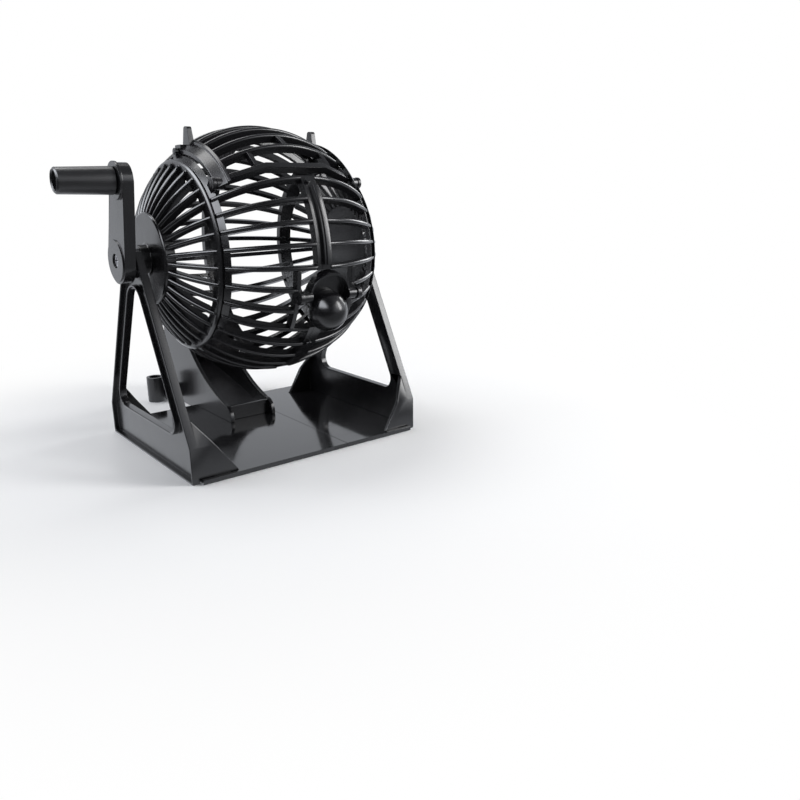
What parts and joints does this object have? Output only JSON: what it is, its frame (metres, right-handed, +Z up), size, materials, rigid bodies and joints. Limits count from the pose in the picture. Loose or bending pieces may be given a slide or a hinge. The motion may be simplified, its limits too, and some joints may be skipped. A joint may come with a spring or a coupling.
{
  "type": "bingo cage",
  "caption": "Crank-turned ribbed ball cage on a two-legged stand, with a hinged loading door, a rocking exit gate and a ball chute behind it.",
  "frame": {"origin": "on the table, straight under the middle of the cage", "axes": "+X along the axle away from the crank, -Y towards the player, +Z up"},
  "size_m": [0.2192, 0.2285, 0.2139],
  "materials": {
    "black_plastic": "moulded black plastic with a soft gloss",
    "mirror_black_plastic": "polished black plastic that mirrors what stands on it",
    "satin_black_plastic": "satin black plastic",
    "screw_steel": "plain bright screw"
  },
  "bodies": {
    "stand": {"base_left": "mirror_black_plastic", "base_right": "mirror_black_plastic", "left_leg": "black_plastic", "right_leg": "black_plastic", "chute": "black_plastic", "left_rear_post": "satin_black_plastic", "right_rear_post": "satin_black_plastic"},
    "cage": {"left_hub": "black_plastic", "right_hub": "black_plastic", "left_end_ribs": "black_plastic", "right_end_ribs": "black_plastic", "left_ring": "black_plastic", "right_ring": "black_plastic", "left_side_ribs": "black_plastic", "right_side_ribs": "black_plastic", "left_seam_band": "black_plastic", "right_seam_band": "black_plastic", "seam_clip": "black_plastic", "seam_pegs": "black_plastic", "gate_frame": "black_plastic", "hinge_pins": "black_plastic", "latch_pins": "black_plastic", "crank_arm": "black_plastic", "crank_screw": "screw_steel"},
    "grip": {"crank_grip": "satin_black_plastic"},
    "door": {"door_left_rail": "black_plastic", "door_right_rail": "black_plastic", "door_bars": "black_plastic", "door_hinge_bar": "black_plastic", "door_crossbars": "black_plastic"},
    "gate": {"exit_gate": "black_plastic"}
  },
  "joints": [
    {"name": "cage_spin", "type": "hinge", "parent": "stand", "child": "cage", "pos_m": [0, 0, 0.131], "axis": [1, 0, 0], "continuous": true},
    {"name": "grip_spin", "type": "hinge", "parent": "cage", "child": "grip", "pos_m": [0, -0.01462, 0.17882], "axis": [1, 0, 0], "continuous": true},
    {"name": "door_hinge", "type": "hinge", "parent": "cage", "child": "door", "pos_m": [0, -0.04719, 0.17657], "axis": [1, 0, 0], "range_deg": [0, 30]},
    {"name": "gate_rock", "type": "hinge", "parent": "cage", "child": "gate", "pos_m": [0, -0.08037, 0.10834], "axis": [-1, 0, 0], "range_deg": [0, 60]}
  ]
}
